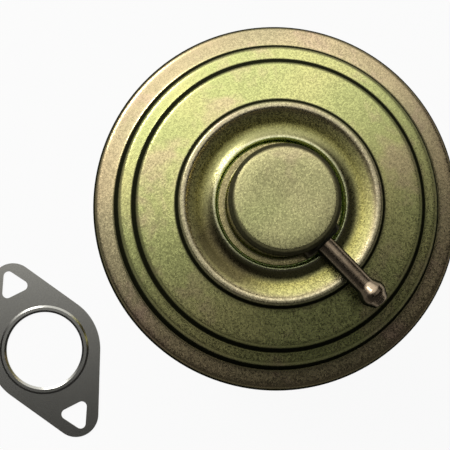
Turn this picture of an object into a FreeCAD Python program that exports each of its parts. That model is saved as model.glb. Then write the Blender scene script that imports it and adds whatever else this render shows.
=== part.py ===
import FreeCAD, Part
import math
import os
import re

import Sketcher
from FreeCAD import Placement, Rotation, Vector

# Vacuum-operated exhaust gas recirculation valve, with its loose flange gasket.
# Millimetres. The origin is the centre of the base flange's lower face, on the
# valve's axis, and +Z runs up the axis to the vacuum cap. The gasket lies beside
# the valve, on the same surface.

# Driving sizes: name, value and what it is.
SIZES = [
    ("bolt_spacing", 54.0, "between the two base bolts"),
    ("bolt_hole_r", 4.3, "base bolt hole, for an 8 mm bolt"),
    ("bore_r", 14.0, "gas bore in the base flange"),
    ("flange_land", 6.8, "base flange beyond its gas bore"),
    ("bolt_land", 3.9, "base flange beyond each bolt hole"),
    ("flange_thick", 10.0, "base flange"),
    ("chamber_step", 1.5, "gas chamber beyond the gas bore"),
    ("body_wall", 3.5, "wall of the gas chamber"),
    ("chamber_high", 26.0, "gas chamber, floor to roof"),
    ("deck_thick", 10.0, "roof of the gas chamber"),
    ("boss_wall", 2.5, "guide boss round the stem seal"),
    ("boss_high", 8.0, "guide boss above the deck"),
    ("cast_round", 0.9, "rounding where the chamber meets the flange"),
    ("cast_edge", 0.8, "rounding of the casting's flange edges"),
    ("rib_thick", 5.0, "web from the side port's flange up to the deck"),
    ("rib_drop", 2.0, "web below the deck"),
    ("port_r", 10.5, "side port bore"),
    ("port_wall", 3.0, "wall of the side port"),
    ("port_rise", 14.0, "side port axis above the flange"),
    ("port_reach", 36.0, "side port face from the valve axis"),
    ("port_plate", 8.0, "thickness of the side port's flange"),
    ("port_land", 4.3, "side port flange beyond its bore"),
    ("stud_land", 4.0, "side port flange beyond each stud hole"),
    ("port_spacing", 43.0, "between the two stud holes"),
    ("stud_hole_r", 3.4, "tapping size for an 8 mm stud"),
    ("seat_step", 0.8, "valve seat ring inside the gas bore"),
    ("seat_high", 5.0, "valve seat ring"),
    ("seat_wall", 2.0, "valve seat ring, across"),
    ("seat_bevel", 0.8, "bevel under the seat ring's bore"),
    ("poppet_lap", 1.5, "valve disc over its seat"),
    ("poppet_edge", 2.4, "thickness of the valve disc's rim"),
    ("poppet_high", 7.0, "valve disc with its hub"),
    ("poppet_hub", 2.0, "hub of the valve disc round the stem"),
    ("stem_r", 3.0, "valve stem"),
    ("neck_step", 0.5, "shoulder at the stem's turned-down ends"),
    ("stem_head_lip", 1.2, "upset head beyond the neck"),
    ("stem_head", 1.2, "thickness of the upset head"),
    ("stem_tip", 1.3, "stem above its nut"),
    ("running_gap", 0.05, "stem in its guide, all round"),
    ("neck_gap", 0.1, "plates on the stem's neck, all round"),
    ("bush_wide", 2.5, "guide bush round the stem"),
    ("bush_drop", 4.0, "guide bush below the chamber roof"),
    ("shield_wide", 3.5, "deposit shield beyond the bush"),
    ("shield_high", 5.0, "deposit shield"),
    ("thin_sheet", 0.8, "sheet of the small pressed cups"),
    ("seal_wide", 3.5, "stem seal round the stem"),
    ("seal_high", 3.3, "stem seal"),
    ("seal_slack", 0.2, "stem seal below the boss's end"),
    ("retainer_gap", 1.2, "seal retainer round the stem"),
    ("retainer_skirt", 3.0, "skirt of the seal retainer"),
    ("pad_thick", 1.0, "insulating gasket on the deck"),
    ("boss_gap", 0.4, "frame and gasket round the guide boss"),
    ("frame_sheet", 2.0, "sheet of the support frame"),
    ("frame_high", 23.0, "support frame"),
    ("frame_edge", 2.0, "frame's foot beyond its screw heads"),
    ("frame_flare", 4.6, "frame's wall from its foot to its flange, across"),
    ("flange_edge", 0.5, "frame's top flange beyond its rivets"),
    ("window_wide", 19.0, "window in the support frame"),
    ("window_lintel", 5.0, "frame above a window"),
    ("window_sill", 6.0, "frame below a window"),
    ("window_corner_r", 2.5, "corner of a window"),
    ("screw_inset", 1.0, "screw heads clear of the boss hole"),
    ("screw_r", 2.5, "frame screw"),
    ("screw_gap", 0.2, "frame and gasket round a screw"),
    ("screw_lip", 1.5, "head of a frame screw beyond its shank"),
    ("screw_head", 3.2, "head of a frame screw"),
    ("screw_edge", 0.5, "rounding of a screw's head"),
    ("screw_deep", 7.0, "frame screw in the deck"),
    ("screw_socket_r", 2.0, "drive socket of a frame screw"),
    ("screw_socket", 1.8, "depth of the drive socket"),
    ("rivet_gap", 0.7, "rivet heads beyond the frame's wall"),
    ("rivet_r", 2.0, "shank of a rivet"),
    ("rivet_lip", 1.5, "head of a rivet beyond its shank"),
    ("rivet_head", 1.3, "head of a rivet"),
    ("rivet_round", 1.1, "rounding of a rivet's head"),
    ("sheet", 1.2, "sheet of the two covers"),
    ("bend_share", 0.7, "share of the sheet by which an inner bend stands in"),
    ("bowl_depth", 16.0, "lower cover from its floor to the rolled rim"),
    ("bowl_flare", 4.8, "bowl's wall from its floor to its flange, across"),
    ("bowl_gap", 1.4, "bowl's wall inside the rolled-under rim"),
    ("bowl_hole_gap", 2.5, "bowl's hole round the stem"),
    ("bowl_round", 3.0, "bend between the bowl's floor and wall"),
    ("vent_r", 1.4, "breather hole in the lower cover"),
    ("vent_gap", 0.5, "breather holes clear of the rivet heads"),
    ("rim_gap", 0.2, "flange and bead inside the rolled rim"),
    ("rim_round", 1.9, "roll of the rim on its upper side"),
    ("tuck_round", 1.3, "roll of the rim on its lower side"),
    ("tuck_wide", 3.2, "rim rolled under the bowl's flange, across"),
    ("bead_thick", 2.4, "bead of the diaphragm"),
    ("bead_wide", 3.0, "bead of the diaphragm, across"),
    ("web", 0.9, "diaphragm"),
    ("web_inset", 2.0, "flat of the diaphragm beyond its plates"),
    ("web_land", 1.7, "flat of the diaphragm inside its bead"),
    ("web_round", 1.6, "bends of the diaphragm"),
    ("plate_gap", 1.1, "lower plate above the rivet heads"),
    ("plate_thick", 1.5, "lower plate"),
    ("cup_gap", 0.7, "spring cup's wall round the spring"),
    ("cup_high", 8.0, "wall of the spring cup"),
    ("cup_round", 1.6, "outer bend of the spring cup"),
    ("washer_wide", 4.0, "lock washer round the stem's neck"),
    ("washer_thick", 1.0, "lock washer"),
    ("nut_flats", 8.0, "stem nut across its flats"),
    ("nut_high", 4.0, "stem nut"),
    ("wire_r", 1.1, "wire of the return spring"),
    ("coil_inset", 4.7, "spring inside the wide band's outer edge"),
    ("rim_wide", 5.7, "outer band of the cover"),
    ("rim_slope", 0.5, "rise of the outer band to the first step"),
    ("first_wall", 1.3, "wall of the first step, across"),
    ("first_step", 4.1, "height of the first step"),
    ("band_wide", 3.6, "second band"),
    ("second_slope", 0.4, "rise of the second band"),
    ("second_wall", 1.2, "wall of the second step, across"),
    ("second_step", 2.2, "height of the second step"),
    ("annulus_wide", 9.9, "wide band"),
    ("annulus_slope", 0.8, "rise of the wide band"),
    ("crest_wall", 0.9, "outer wall of the crest, across"),
    ("crest_wide", 1.4, "crest"),
    ("crest_rise", 2.0, "crest above the wide band"),
    ("dish_wall", 3.4, "wall of the dish, across"),
    ("dish_depth", 3.2, "dish below the crest"),
    ("valley_wide", 2.4, "bottom of the dish"),
    ("collar_wide", 2.2, "folded collar"),
    ("collar_rise", 2.2, "collar above the dish's bottom"),
    ("pocket_drop", 0.6, "pocket floor below the dish's bottom"),
    ("hole_inset", 4.5, "vacuum opening of the cover inside the cap's wall"),
    ("step_round", 2.2, "outer side of the cover's bends"),
    ("foot_round", 1.0, "inner side of the cover's bends"),
    ("collar_round", 0.95, "rounding of the folded collar"),
    ("valley_round", 3.2, "rounding of the dish's bottom"),
    ("cap_r", 13.5, "outside of the vacuum cap"),
    ("cap_high", 13.9, "vacuum cap"),
    ("cap_sheet", 1.0, "sheet of the vacuum cap"),
    ("cap_crown", 0.3, "rise of the cap's top to its middle"),
    ("cap_round", 2.8, "edge of the cap's top"),
    ("cap_foot_round", 0.8, "bend at the cap's foot"),
    ("cap_flange", 2.2, "cap's flange beyond its wall"),
    ("cap_flange_gap", 0.3, "cap's flange inside the pocket"),
    ("nipple_drop", 6.5, "nipple axis below the cap's top edge"),
    ("nipple_angle", -45.9, "nipple's direction, degrees from +X about +Z"),
    ("nipple_r", 2.4, "hose land of the nipple"),
    ("nipple_wall", 1.2, "wall of the hose land"),
    ("nipple_step", 0.3, "nipple thinner where it passes the cap's wall"),
    ("nipple_inset", 0.6, "nipple inside the cap's wall"),
    ("nipple_land", 14.1, "hose land of the nipple"),
    ("barb_lip", 1.0, "bulb beyond the hose land"),
    ("barb_ramp", 2.0, "bulb's slope at the land"),
    ("barb_flat", 1.5, "crown of the bulb"),
    ("barb_nose", 2.3, "bulb's slope at the tip"),
    ("barb_taper", 1.3, "bulb down to the tip of the nipple"),
    ("barb_round", 1.6, "rounding of the bulb"),
    ("tip_round", 0.5, "rounding of the nipple's end and of its collar"),
    ("ring_wide", 3.35, "brazing collar at each side of the nipple"),
    ("ring_half", 3.6, "half the height of the brazing collar"),
    ("ring_face", 0.8, "brazing collar beyond the cap's wall"),
    ("ring_side", 2.5, "collar's side wall along the cap"),
    ("gasket_thick", 0.5, "flange gasket"),
    ("gasket_bead", 0.4, "height of the embossed bead"),
    ("gasket_bead_wide", 2.5, "embossed bead round the gas hole"),
    ("gasket_bead_slope", 0.75, "sloping side of the bead, across"),
    ("gasket_corner_r", 1.9, "corners of the bolt holes"),
    ("gasket_corner_reach", 3.6, "middle of a bolt hole to its corner arcs"),
    ("gasket_x", -78.0, "gasket's place beside the valve"),
    ("gasket_y", -46.5, "gasket's place beside the valve"),
    ("gasket_angle", -63.3, "gasket's bolt line, degrees from +X about +Z"),
]

# How many there are of what repeats.
FRAME_SCREWS = 3
FRAME_RIVETS = 4
BREATHER_HOLES = 6
ACTIVE_HALF_TURNS = 7

# Radii, heights and lengths that follow from the driving sizes.
FOLLOWING = {
    "flange_mid_r": "bore_r + flange_land",
    "flange_end_r": "bolt_hole_r + bolt_land",
    "chamber_r": "bore_r + chamber_step",
    "body_r": "chamber_r + body_wall",
    "port_mid_r": "port_r + port_land",
    "port_end_r": "stud_hole_r + stud_land",
    "seat_r": "bore_r - seat_step",
    "seat_in_r": "seat_r - seat_wall",
    "poppet_r": "seat_in_r + poppet_lap",
    "poppet_hub_r": "stem_r + poppet_hub",
    "neck_r": "stem_r - neck_step",
    "stem_head_r": "neck_r + stem_head_lip",
    "bush_r": "stem_r + bush_wide",
    "shield_r": "bush_r + shield_wide",
    "seal_r": "stem_r + seal_wide",
    "seal_pocket": "seal_high + seal_slack",
    "boss_r": "seal_r + boss_wall",
    "retainer_hole_r": "stem_r + retainer_gap",
    "screw_head_r": "screw_r + screw_lip",
    "screw_circle_r": "boss_r + boss_gap + screw_head_r + screw_inset",
    "frame_low_r": "screw_circle_r + screw_head_r + frame_edge",
    "frame_top_r": "frame_low_r + frame_flare",
    "window_high": "frame_high - window_sill - window_lintel",
    "rivet_head_r": "rivet_r + rivet_lip",
    "rivet_circle_r": "frame_top_r + rivet_head_r + rivet_gap",
    "frame_flange_r": "rivet_circle_r + rivet_head_r + flange_edge",
    "vent_circle_r": "rivet_circle_r + rivet_head_r + vent_r + vent_gap",
    "pocket_r": "cap_r + cap_flange + cap_flange_gap",
    "collar_r": "pocket_r + collar_wide",
    "valley_r": "collar_r + valley_wide",
    "crest_in_r": "valley_r + dish_wall",
    "crest_out_r": "crest_in_r + crest_wide",
    "third_foot_r": "crest_out_r + crest_wall",
    "second_top_r": "third_foot_r + annulus_wide",
    "second_foot_r": "second_top_r + second_wall",
    "first_top_r": "second_foot_r + band_wide",
    "first_foot_r": "first_top_r + first_wall",
    "rim_r": "first_foot_r + rim_wide",
    "cover_hole_r": "cap_r - hole_inset",
    "tuck_r": "rim_r - tuck_wide",
    "grip_r": "rim_r - sheet - rim_gap",
    "bead_in_r": "grip_r - bead_wide",
    "bowl_wall_r": "tuck_r - bowl_gap",
    "bowl_floor_r": "bowl_wall_r - bowl_flare",
    "bowl_hole_r": "stem_r + bowl_hole_gap",
    "coil_r": "second_top_r - coil_inset - wire_r",
    "plate_r": "coil_r + wire_r + cup_gap + sheet",
    "web_low_r": "plate_r + web_inset",
    "web_top_r": "bead_in_r - web_land",
    "washer_r": "neck_r + washer_wide",
    "nipple_rise": "cap_high - nipple_drop",
    "nipple_pilot_r": "nipple_r - nipple_step",
    "nipple_bore_r": "nipple_r - nipple_wall",
    "barb_r": "nipple_r + barb_lip",
    "barb_tip_r": "barb_r - barb_taper",
    "ring_r": "nipple_r + ring_wide",
    "chamber_top": "flange_thick + chamber_high",
    "deck_top": "chamber_top + deck_thick",
    "boss_top": "deck_top + boss_high",
    "port_height": "flange_thick + port_rise",
    "bush_top": "boss_top - seal_pocket",
    "bush_low": "chamber_top - bush_drop",
    "frame_low": "deck_top + pad_thick",
    "cover_low": "frame_low + frame_high",
    "rim_low": "cover_low + bowl_depth",
    "bead_low": "rim_low + 2 * sheet",
    "plates_low": "cover_low + sheet + rivet_head + plate_gap",
    "web_low": "plates_low + plate_thick",
    "cup_low": "web_low + web",
    "cup_floor": "cup_low + sheet",
    "nut_low": "cup_floor + washer_thick",
    "stem_top": "nut_low + nut_high + stem_tip",
    "stem_low": "flange_thick - stem_head",
    "rim_top": "3 * sheet + bead_thick",
    "band_foot": "rim_top + rim_slope",
    "band_top": "band_foot + first_step",
    "second_foot": "band_top + second_slope",
    "annulus_low": "second_foot + second_step",
    "annulus_top": "annulus_low + annulus_slope",
    "crest": "annulus_top + crest_rise",
    "valley": "crest - dish_depth",
    "pocket_floor": "valley - pocket_drop",
    "cap_seat": "rim_low + pocket_floor",
    "nipple_height": "cap_seat + nipple_rise",
    "collar_face": "cap_r + ring_face",
    "land_end": "collar_face + nipple_land",
    "spring_high": "rim_low + annulus_low - sheet - cup_floor",
    "coil_rise": f"(spring_high - 2 * wire_r) / {ACTIVE_HALF_TURNS}",
}
RIVET_PLACE = "rivet_circle_r * sqrt(0.5)"
EDGE_MATCH = 1e-4
AXIS_MATCH = 0.99

doc = FreeCAD.newDocument("vacuum_egr_valve")
sheet = doc.addObject("Spreadsheet::Sheet", "Sizes")
for row, (alias, size, note) in enumerate(SIZES, start=1):
    sheet.set(f"A{row}", note)
    sheet.set(f"B{row}", str(size))
    sheet.setAlias(f"B{row}", alias)
doc.recompute()

DRIVING = {alias for alias, size, note in SIZES}


def formula(text):
    """The expression, on the sheet's cells, of a formula in size names."""

    def cell(match):
        word = match.group()
        if word in FOLLOWING:
            return "(" + formula(FOLLOWING[word]) + ")"
        return "Sizes." + word if word in DRIVING else word

    return re.sub(r"[a-z_]+", cell, text)


def value(text):
    """The present value of a formula in size names."""
    return float(sheet.evalExpression(formula(text)))


def new_body(label, height="0", turn=None, east="0", north="0"):
    """A body placed at a height on the axis, or beside it, and turned about +Z."""
    body = doc.addObject("PartDesign::Body", label)
    body.Label = label
    angle = value(turn) if turn else 0.0
    place = Vector(value(east), value(north), value(height))
    body.Placement = Placement(place, Rotation(Vector(0, 0, 1), angle))
    for letter, text in (("x", east), ("y", north), ("z", height)):
        if text != "0":
            body.setExpression("Placement.Base." + letter, formula(text))
    if turn:
        body.setExpression("Placement.Rotation.Angle", formula(turn))
    return body


def new_sketch(body, role, offset=None):
    """A sketch on one of the body's own origin planes, moved along its normal."""
    sketch = body.newObject("Sketcher::SketchObject", body.Label + "_sketch")
    plane = next(item for item in body.Origin.OriginFeatures if item.Role == role)
    sketch.AttachmentSupport = (plane, [""])
    sketch.MapMode = "FlatFace"
    if offset:
        sketch.setExpression("AttachmentOffset.Base.z", formula(offset))
    return sketch


def pin_point(sketch, index, end, across, up):
    """Tie a point of the sketch to two formulas, or to an axis where one is 0."""
    for axis, kind, text in ((-2, "DistanceX", across), (-1, "DistanceY", up)):
        size = value(text)
        if text == "0":
            sketch.addConstraint(Sketcher.Constraint("PointOnObject", index, end, axis))
            continue
        if size < 0:
            tie = Sketcher.Constraint(kind, index, end, -1, 1, -size)
            text = "-(" + text + ")"
        else:
            tie = Sketcher.Constraint(kind, -1, 1, index, end, size)
        number = sketch.addConstraint(tie)
        sketch.setExpression(f"Constraints[{number}]", formula(text))


def pin_radius(sketch, index, text):
    number = sketch.addConstraint(Sketcher.Constraint("Radius", index, value(text)))
    sketch.setExpression(f"Constraints[{number}]", formula(text))


def outline(sketch, corners):
    """A closed outline of straight lines, every corner tied to its formulas."""
    spots = [Vector(value(across), value(up), 0) for across, up in corners]
    first = sketch.GeometryCount
    count = len(spots)
    for number, spot in enumerate(spots):
        follower = spots[(number + 1) % count]
        sketch.addGeometry(Part.LineSegment(spot, follower), False)
    for number, (across, up) in enumerate(corners):
        before = first + (number - 1) % count
        here = first + number
        sketch.addConstraint(Sketcher.Constraint("Coincident", before, 2, here, 1))
        pin_point(sketch, here, 1, across, up)


def circle(sketch, across, up, radius):
    middle = Vector(value(across), value(up), 0)
    ring = Part.Circle(middle, Vector(0, 0, 1), value(radius))
    index = sketch.addGeometry(ring, False)
    pin_point(sketch, index, 3, across, up)
    pin_radius(sketch, index, radius)


def band_round(sketch, rounds):
    """The outline of a belt pulled round circles, listed anticlockwise."""
    spots = [(Vector(value(x), value(y), 0), value(r)) for x, y, r in rounds]
    count = len(spots)
    normals = []
    for number, (middle, radius) in enumerate(spots):
        goal, goal_radius = spots[(number + 1) % count]
        along = (goal - middle).normalize()
        lean = math.asin((radius - goal_radius) / (goal - middle).Length)
        aside = Vector(along.y, -along.x, 0)
        normals.append(along * math.sin(lean) + aside * math.cos(lean))
    arcs = []
    lines = []
    for number, (middle, radius) in enumerate(spots):
        start = math.atan2(normals[number - 1].y, normals[number - 1].x)
        stop = math.atan2(normals[number].y, normals[number].x)
        stop += 2 * math.pi if stop < start else 0
        ring = Part.Circle(middle, Vector(0, 0, 1), radius)
        arcs.append(sketch.addGeometry(Part.ArcOfCircle(ring, start, stop), False))
    for number, (middle, radius) in enumerate(spots):
        goal, goal_radius = spots[(number + 1) % count]
        here = middle + normals[number] * radius
        there = goal + normals[number] * goal_radius
        lines.append(sketch.addGeometry(Part.LineSegment(here, there), False))
    for number, (across, up, radius) in enumerate(rounds):
        following = (number + 1) % count
        pin_point(sketch, arcs[number], 3, across, up)
        pin_radius(sketch, arcs[number], radius)
        for ends in ((arcs[number], 2, lines[number], 1), (lines[number], 2, arcs[following], 1)):
            sketch.addConstraint(Sketcher.Constraint("Tangent", *ends))


def checked(body, feature, grows):
    """Recompute, and make sure that the feature added or removed material."""
    base = feature.BaseFeature
    before = base.Shape.Volume if base else 0.0
    doc.recompute()
    change = feature.Shape.Volume - before
    if (change <= 0) if grows else (change >= 0):
        raise RuntimeError(f"{body.Label}: {feature.Name} changed nothing")
    return feature


def turned(body, corners, axis="V_Axis", cut=False):
    """A revolution, or a groove, of an outline in the XZ plane."""
    sketch = new_sketch(body, "XZ_Plane")
    outline(sketch, corners)
    kind = "Groove" if cut else "Revolution"
    feature = body.newObject("PartDesign::" + kind, body.Label + "_turned")
    feature.Profile = sketch
    feature.ReferenceAxis = (sketch, [axis])
    feature.Angle = 360
    return checked(body, feature, not cut)


def pad(body, sketch, length, both_ways=False):
    feature = body.newObject("PartDesign::Pad", body.Label + "_pad")
    feature.Profile = sketch
    feature.setExpression("Length", formula(length))
    feature.Midplane = both_ways
    return checked(body, feature, True)


def pocket(body, sketch, length, forward=False, both_ways=False):
    """Cut against the sketch's normal, or along it when forward."""
    feature = body.newObject("PartDesign::Pocket", body.Label + "_pocket")
    feature.Profile = sketch
    feature.setExpression("Length", formula(length))
    feature.Reversed = forward
    feature.Midplane = both_ways
    return checked(body, feature, False)


def round_edges(body, radius, chosen):
    """Round the edges that the function picks."""
    base = body.Tip
    names = [f"Edge{n}" for n, edge in enumerate(base.Shape.Edges, start=1) if chosen(edge)]
    feature = body.newObject("PartDesign::Fillet", body.Label + "_round")
    feature.Base = (base, names)
    feature.setExpression("Radius", formula(radius))
    doc.recompute()
    return feature


def round_rings(body, radius, rings, along="z"):
    """Round the circular edges that lie at the given radii and places along an axis."""
    goals = [(value(ring_radius), value(place)) for ring_radius, place in rings]

    def chosen(edge):
        curve = edge.Curve
        if not isinstance(curve, Part.Circle) or abs(getattr(curve.Axis, along)) < AXIS_MATCH:
            return False
        place = getattr(curve.Center, along)
        return any(math.hypot(curve.Radius - r, place - p) < EDGE_MATCH for r, p in goals)

    return round_edges(body, radius, chosen)


def around(body, features, count, axis="N_Axis"):
    """Repeat features evenly about the body's Z axis, an axis of their sketch."""
    pattern = body.newObject("PartDesign::PolarPattern", body.Label + "_pattern")
    pattern.Originals = features
    pattern.Axis = (features[0].Profile[0], [axis])
    pattern.Angle = 360
    pattern.Occurrences = count
    body.Tip = pattern
    doc.recompute()
    return pattern


def flange_plate(sketch, spacing, mid_radius, end_radius, height="0"):
    """Two-bolt flange outline: round the bore and round each bolt."""
    band_round(sketch, [
        (f"{spacing} / 2", height, end_radius),
        ("0", height, mid_radius),
        (f"-{spacing} / 2", height, end_radius),
        ("0", height, mid_radius),
    ])


def bolt_holes(body, role, spacing, radius, length, offset=None, height="0", forward=False):
    sketch = new_sketch(body, role, offset)
    circle(sketch, f"{spacing} / 2", height, radius)
    circle(sketch, f"-{spacing} / 2", height, radius)
    return pocket(body, sketch, length, forward)


def make_valve_body():
    """Cast body: two-bolt base flange, gas chamber, side port and guide boss."""
    body = new_body("valve_body")
    base = new_sketch(body, "XY_Plane")
    flange_plate(base, "bolt_spacing", "flange_mid_r", "flange_end_r")
    pad(body, base, "flange_thick")
    flange_top = value("flange_thick")
    round_edges(body, "cast_edge", lambda edge: edge.BoundBox.ZMin > flange_top - EDGE_MATCH)
    turned(body, [
        ("0", "flange_thick / 2"),
        ("body_r", "flange_thick / 2"),
        ("body_r", "deck_top"),
        ("boss_r", "deck_top"),
        ("boss_r", "boss_top"),
        ("0", "boss_top"),
    ])
    round_rings(body, "cast_round", [("body_r", "flange_thick")])
    tube = new_sketch(body, "XZ_Plane")
    circle(tube, "0", "port_height", "port_r + port_wall")
    pad(body, tube, "port_reach - port_plate / 2")
    plate = new_sketch(body, "XZ_Plane", "port_reach - port_plate")
    flange_plate(plate, "port_spacing", "port_mid_r", "port_end_r", "port_height")
    pad(body, plate, "port_plate")
    rear = -value("port_reach - port_plate")
    tube_r = value("port_r + port_wall")

    def rear_edge(edge):
        arc = isinstance(edge.Curve, Part.Circle)
        on_tube = arc and abs(edge.Curve.Radius - tube_r) < EDGE_MATCH
        box = edge.BoundBox
        return abs(box.YMin - rear) + box.YLength < EDGE_MATCH and not on_tube

    round_edges(body, "cast_edge", rear_edge)
    web = new_sketch(body, "YZ_Plane")
    rib_foot = "-(body_r - body_wall / 2)"
    rib_end = "-(port_reach - port_plate + cast_edge)"
    outline(web, [
        (rib_foot, "port_height"),
        (rib_end, "port_height"),
        (rib_end, "port_height + port_r + port_wall"),
        (rib_foot, "deck_top - rib_drop"),
    ])
    pad(body, web, "rib_thick", both_ways=True)
    turned(body, [
        ("0", "0"),
        ("bore_r", "0"),
        ("bore_r", "flange_thick - seat_high"),
        ("seat_r", "flange_thick - seat_high"),
        ("seat_r", "flange_thick"),
        ("chamber_r", "flange_thick"),
        ("chamber_r", "chamber_top"),
        ("bush_r", "chamber_top"),
        ("bush_r", "bush_top"),
        ("seal_r", "bush_top"),
        ("seal_r", "boss_top"),
        ("0", "boss_top"),
    ], cut=True)
    gas = new_sketch(body, "XZ_Plane", "port_reach")
    circle(gas, "0", "port_height", "port_r")
    pocket(body, gas, "port_reach")
    bolt_holes(body, "XY_Plane", "bolt_spacing", "bolt_hole_r", "flange_thick", forward=True)
    bolt_holes(body, "XZ_Plane", "port_spacing", "stud_hole_r", "port_plate",
               "port_reach", "port_height")
    screws = new_sketch(body, "XY_Plane", "deck_top")
    circle(screws, "screw_circle_r", "0", "screw_r")
    tapped = pocket(body, screws, "screw_deep")
    around(body, [tapped], FRAME_SCREWS)


def make_valve_seat():
    body = new_body("valve_seat", "flange_thick - seat_high")
    turned(body, [
        ("seat_in_r + seat_bevel", "0"),
        ("seat_r", "0"),
        ("seat_r", "seat_high"),
        ("seat_in_r", "seat_high"),
        ("seat_in_r", "seat_bevel"),
    ])


def make_poppet():
    """Valve disc, its flat face on the seat and its hub against the stem."""
    body = new_body("poppet", "flange_thick")
    turned(body, [
        ("neck_r", "0"),
        ("poppet_r", "0"),
        ("poppet_r", "poppet_edge"),
        ("poppet_hub_r", "poppet_high / 2"),
        ("poppet_hub_r", "poppet_high"),
        ("neck_r", "poppet_high"),
    ])


def make_valve_stem():
    """Stem with an upset head, a shoulder on the disc and a neck for the plates."""
    body = new_body("valve_stem", "stem_low")
    disc_top = "stem_head + poppet_high"
    shoulder = "plates_low - stem_low"
    tip = "stem_top - stem_low"
    turned(body, [
        ("0", "0"),
        ("stem_head_r", "0"),
        ("stem_head_r", "stem_head"),
        ("neck_r", "stem_head"),
        ("neck_r", disc_top),
        ("stem_r", disc_top),
        ("stem_r", shoulder),
        ("neck_r", shoulder),
        ("neck_r", tip),
        ("0", tip),
    ])


def make_guide_bush():
    body = new_body("guide_bush", "bush_low")
    high = "bush_top - bush_low"
    inner = "stem_r + running_gap"
    turned(body, [(inner, "0"), ("bush_r", "0"), ("bush_r", high), (inner, high)])


def make_deposit_shield():
    """Cup under the chamber roof that keeps soot off the guide."""
    body = new_body("deposit_shield", "chamber_top - shield_high")
    plate = "shield_high - thin_sheet"
    turned(body, [
        ("shield_r - thin_sheet", "0"),
        ("shield_r", "0"),
        ("shield_r", "shield_high"),
        ("bush_r", "shield_high"),
        ("bush_r", plate),
        ("shield_r - thin_sheet", plate),
    ])


def make_stem_seal():
    """Lip seal: a groove in its top leaves a lip round the stem."""
    body = new_body("stem_seal", "bush_top")
    inner = "stem_r + running_gap"
    middle = "(stem_r + seal_r) / 2"
    turned(body, [
        (inner, "0"),
        ("seal_r", "0"),
        ("seal_r", "seal_high"),
        (f"{middle} + thin_sheet", "seal_high"),
        (middle, "seal_high / 2"),
        (f"{middle} - thin_sheet", "seal_high"),
        (inner, "seal_high"),
    ])


def make_seal_retainer():
    body = new_body("seal_retainer", "boss_top - retainer_skirt")
    top = "retainer_skirt + thin_sheet"
    outer = "boss_r + thin_sheet"
    turned(body, [
        ("boss_r", "0"),
        (outer, "0"),
        (outer, top),
        ("retainer_hole_r", top),
        ("retainer_hole_r", "retainer_skirt"),
        ("boss_r", "retainer_skirt"),
    ])
    round_rings(body, "thin_sheet", [(outer, top)])


def screw_holes(body, length):
    sketch = new_sketch(body, "XY_Plane")
    circle(sketch, "screw_circle_r", "0", "screw_r + screw_gap")
    return around(body, [pocket(body, sketch, length, forward=True)], FRAME_SCREWS)


def make_insulating_gasket():
    body = new_body("insulating_gasket", "deck_top")
    sketch = new_sketch(body, "XY_Plane")
    circle(sketch, "0", "0", "body_r")
    circle(sketch, "0", "0", "boss_r + boss_gap")
    pad(body, sketch, "pad_thick")
    screw_holes(body, "pad_thick")


def make_support_frame():
    """Pressed bell that holds the can off the hot body, with four windows."""
    body = new_body("support_frame", "frame_low")
    inset = "bend_share * frame_sheet"
    turned(body, [
        ("boss_r + boss_gap", "0"),
        ("frame_low_r", "0"),
        ("frame_top_r", "frame_high - frame_sheet"),
        ("frame_flange_r", "frame_high - frame_sheet"),
        ("frame_flange_r", "frame_high"),
        (f"frame_top_r - {inset}", "frame_high"),
        (f"frame_low_r - {inset}", "frame_sheet"),
        ("boss_r + boss_gap", "frame_sheet"),
    ])
    round_rings(body, "frame_sheet", [("frame_low_r", "0")])
    sketch = new_sketch(body, "XZ_Plane")
    side = "window_wide / 2 - window_corner_r"
    low = "window_sill + window_corner_r"
    high = "window_sill + window_high - window_corner_r"
    band_round(sketch, [
        (side, low, "window_corner_r"),
        (side, high, "window_corner_r"),
        (f"-({side})", high, "window_corner_r"),
        (f"-({side})", low, "window_corner_r"),
    ])
    window = pocket(body, sketch, "frame_flange_r", forward=True)
    around(body, [window], FRAME_RIVETS, "V_Axis")
    screw_holes(body, "frame_sheet")
    rivets = new_sketch(body, "XY_Plane", "frame_high")
    circle(rivets, RIVET_PLACE, RIVET_PLACE, "rivet_r")
    around(body, [pocket(body, rivets, "frame_sheet")], FRAME_RIVETS)


def make_frame_screws():
    """Socket-head screws from the frame into the deck, one node of three."""
    body = new_body("frame_screws", "deck_top - screw_deep")
    seat = "screw_deep + pad_thick + frame_sheet"
    shank = new_sketch(body, "XY_Plane")
    circle(shank, "screw_circle_r", "0", "screw_r")
    shanks = pad(body, shank, seat)
    cap = new_sketch(body, "XY_Plane", seat)
    circle(cap, "screw_circle_r", "0", "screw_head_r")
    heads = pad(body, cap, "screw_head")
    drive = new_sketch(body, "XY_Plane", f"{seat} + screw_head")
    circle(drive, "screw_circle_r", "0", "screw_socket_r")
    sockets = pocket(body, drive, "screw_socket")
    around(body, [shanks, heads, sockets], FRAME_SCREWS)
    round_rings(body, "screw_edge", [("screw_head_r", f"{seat} + screw_head")])


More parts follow.
